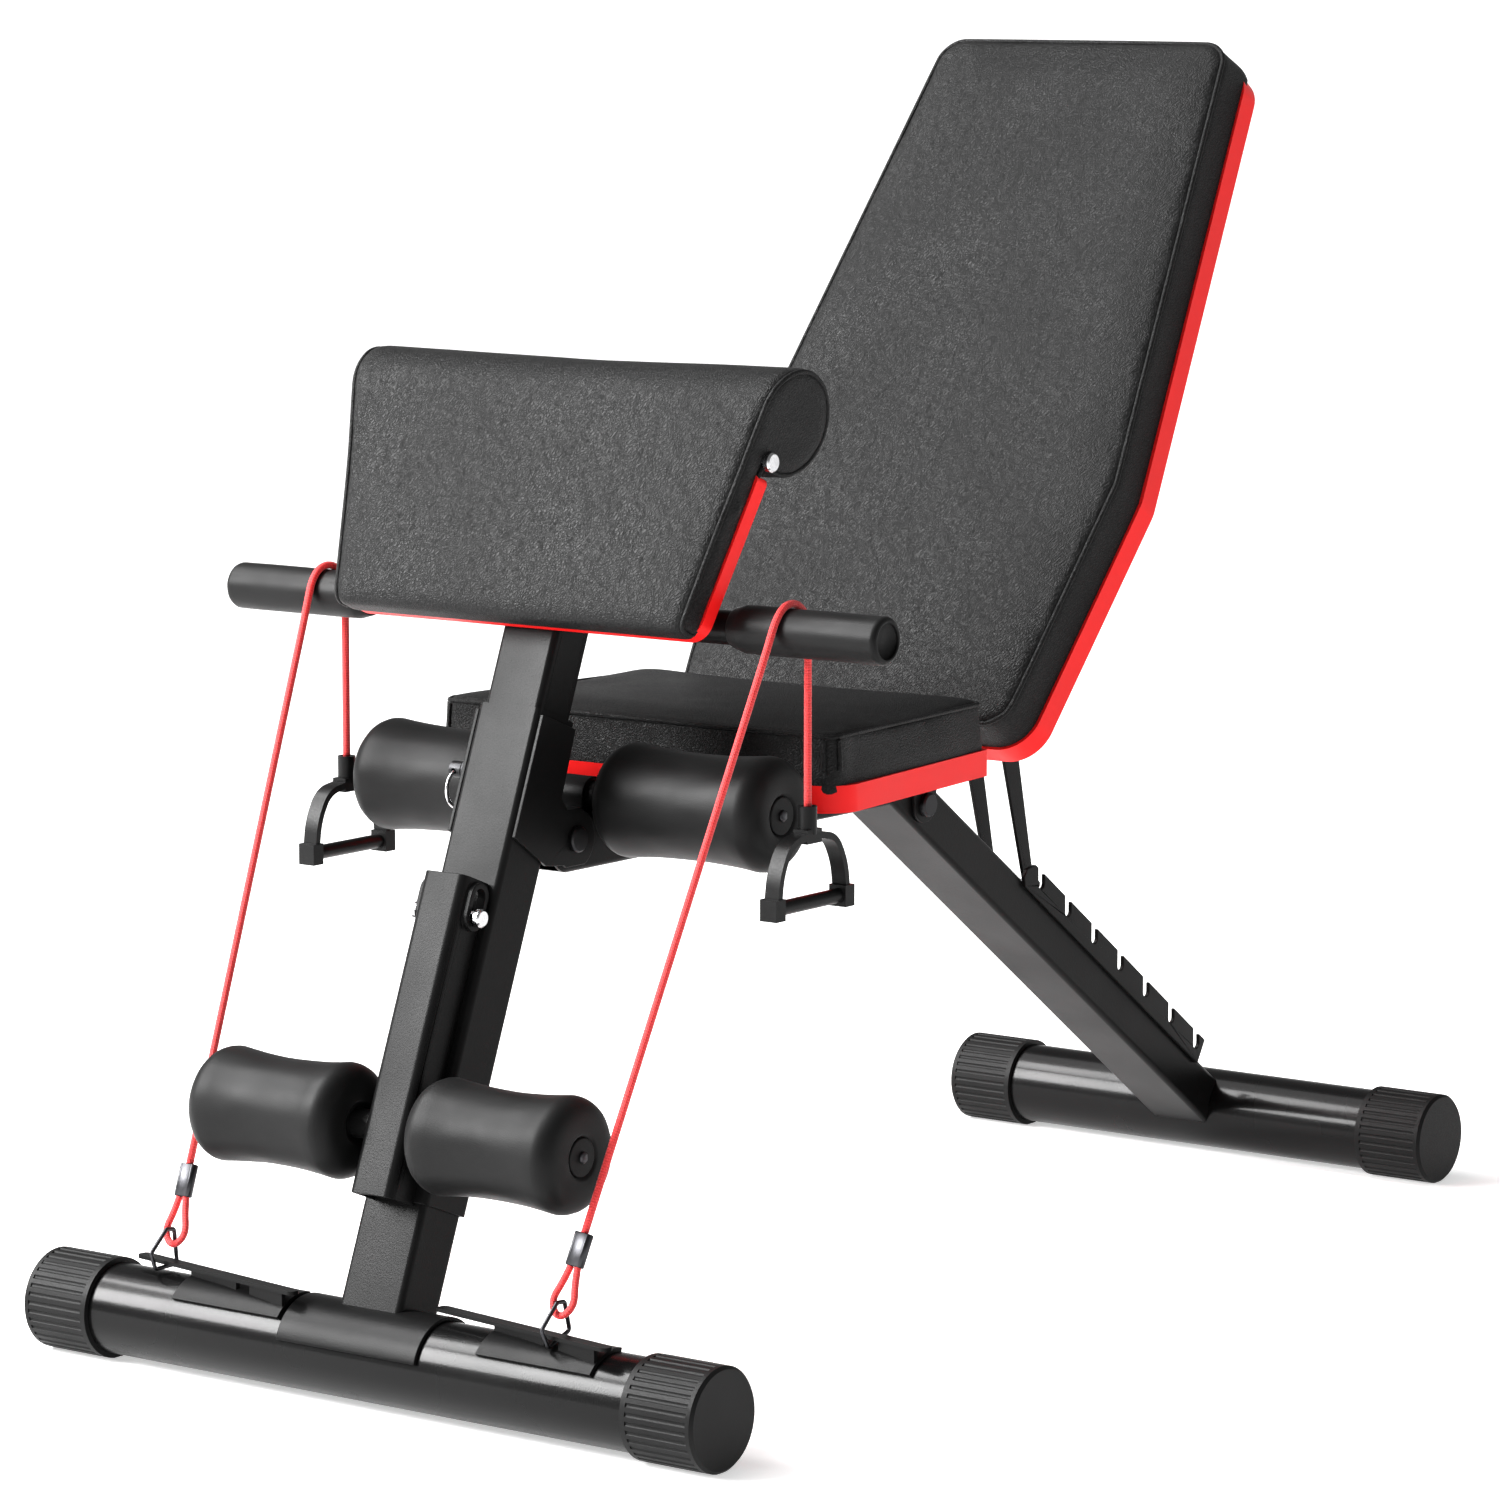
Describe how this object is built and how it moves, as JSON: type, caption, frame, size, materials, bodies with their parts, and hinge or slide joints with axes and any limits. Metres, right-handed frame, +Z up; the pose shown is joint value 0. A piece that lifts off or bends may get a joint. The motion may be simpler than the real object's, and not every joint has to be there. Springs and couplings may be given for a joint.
{
  "type": "decline sit-up bench",
  "caption": "Foldable sit-up bench with a ladder-set reclining backrest, foam leg rollers, a height-adjustable arm pad and two elastic cords with hand grips.",
  "frame": {"origin": "on the floor, under the middle of the bench, half-way between the two crossbars", "axes": "+Z up; the bench lies along Y with its front crossbar, upright and arm pad at -Y and its rear crossbar at +Y; X is across the bench"},
  "size_m": [0.55, 1.0518, 0.8482],
  "materials": {
    "frame_black": "satin black powder coat",
    "crossbar_black": "gloss black powder coat",
    "cap_plastic": "moulded matt black",
    "pad_vinyl": "pebbled black leatherette",
    "board_red": "red vinyl over plywood",
    "foam_black": "closed-cell foam with a soft skin",
    "bright_steel": "zinc plated",
    "grey_steel": "dark grey steel",
    "cord_red": "braided cover over elastic",
    "handle_plastic": "moulded semi-gloss black"
  },
  "bodies": {
    "main_frame": {"rear_crossbar_tube": "crossbar_black", "rear_caps": "cap_plastic", "rear_leg_tube": "frame_black", "leg_end_cap": "cap_plastic", "seat_beam": "frame_black", "ladder_plates": "frame_black", "front_pivot_bolt": "bright_steel", "back_pivot_bolt": "bright_steel", "seat_pad": "pad_vinyl", "seat_board": "board_red", "seat_straps": "frame_black", "seat_screws": "bright_steel", "knee_axle": "frame_black", "knee_axle_plugs": "cap_plastic", "axle_saddle": "frame_black"},
    "front_leg": {"front_crossbar_tube": "crossbar_black", "front_caps": "cap_plastic", "front_saddle": "frame_black", "upright_sleeve": "frame_black", "hinge_plates": "frame_black", "cord_plates": "frame_black", "cord_clips": "grey_steel", "hook_lug": "frame_black", "hook_pin": "bright_steel", "lock_housing": "frame_black", "cord_taut_left": "cord_red", "cord_taut_right": "cord_red", "cord_eyes": "cord_red", "cord_ferrules": "grey_steel"},
    "arm_post": {"arm_post_tube": "frame_black", "handlebar": "frame_black", "handlebar_grips": "foam_black", "handlebar_plugs": "cap_plastic", "arm_pad": "pad_vinyl", "arm_board": "board_red", "arm_plate": "frame_black", "arm_screws": "bright_steel", "roll_rod": "bright_steel", "cord_drop_left": "cord_red", "cord_drop_right": "cord_red"},
    "lock_pin": {"lock_pin": "bright_steel", "pull_ring": "bright_steel"},
    "leg_hook": {"hook_channel": "frame_black", "hook_collar": "frame_black", "ankle_axle": "frame_black", "ankle_axle_plugs": "cap_plastic"},
    "knee_roller_left": {"knee_roller_left": "foam_black"},
    "knee_roller_right": {"knee_roller_right": "foam_black"},
    "ankle_roller_left": {"ankle_roller_left": "foam_black"},
    "ankle_roller_right": {"ankle_roller_right": "foam_black"},
    "backrest": {"back_pad": "pad_vinyl", "back_board": "board_red", "back_bracket": "frame_black", "back_screws": "bright_steel", "strut_bolt": "bright_steel"},
    "strut": {"strut_channel": "frame_black", "strut_pin": "bright_steel"},
    "hand_grip_left": {"hand_grip_left": "handle_plastic"},
    "hand_grip_right": {"hand_grip_right": "handle_plastic"}
  },
  "joints": [
    {"name": "front_leg_fold", "type": "hinge", "parent": "main_frame", "child": "front_leg", "pos_m": [0, -0.3205, 0.3455], "axis": [1, 0, 0], "range_deg": [0, 75]},
    {"name": "arm_slide", "type": "slide", "parent": "front_leg", "child": "arm_post", "axis": [0, 0.3665, 0.9304], "range_m": [0, 0.12], "deforming": ["cord_taut_left", "cord_taut_right"]},
    {"name": "lock_pin_pull", "type": "slide", "parent": "front_leg", "child": "lock_pin", "axis": [-1, 0, 0], "range_m": [0, 0.01], "stiffness_N_per_m": 800, "springref_m": -0.005},
    {"name": "leg_hook_slide", "type": "slide", "parent": "front_leg", "child": "leg_hook", "axis": [0, -0.3665, -0.9304], "range_m": [0, 0.013]},
    {"name": "backrest_recline", "type": "hinge", "parent": "main_frame", "child": "backrest", "pos_m": [0, 0.0775, 0.32], "axis": [-1, 0, 0], "range_deg": [0, 77.06]},
    {"name": "strut_swing", "type": "hinge", "parent": "backrest", "child": "strut", "pos_m": [0, 0.1621, 0.4903], "axis": [1, 0, 0], "range_deg": [0, 108]},
    {"name": "knee_roller_left_spin", "type": "hinge", "parent": "main_frame", "child": "knee_roller_left", "pos_m": [0, -0.2835, 0.3685], "axis": [1, 0, 0], "continuous": true},
    {"name": "knee_roller_right_spin", "type": "hinge", "parent": "main_frame", "child": "knee_roller_right", "pos_m": [0, -0.2835, 0.3685], "axis": [1, 0, 0], "continuous": true},
    {"name": "ankle_roller_left_spin", "type": "hinge", "parent": "leg_hook", "child": "ankle_roller_left", "pos_m": [0, -0.47018, 0.176], "axis": [1, 0, 0], "continuous": true},
    {"name": "ankle_roller_right_spin", "type": "hinge", "parent": "leg_hook", "child": "ankle_roller_right", "pos_m": [0, -0.47018, 0.176], "axis": [1, 0, 0], "continuous": true},
    {"name": "hand_grip_left_swing", "type": "hinge", "parent": "arm_post", "child": "hand_grip_left", "pos_m": [-0.19, -0.2919, 0.376], "axis": [1, 0, 0], "range_deg": [-25, 25]},
    {"name": "hand_grip_right_swing", "type": "hinge", "parent": "arm_post", "child": "hand_grip_right", "pos_m": [0.1924, -0.2919, 0.376], "axis": [1, 0, 0], "range_deg": [-25, 25]}
  ],
  "couplings": [
    {"joint": "strut_swing", "follows": "backrest_recline", "ratio": 1.3827}
  ]
}
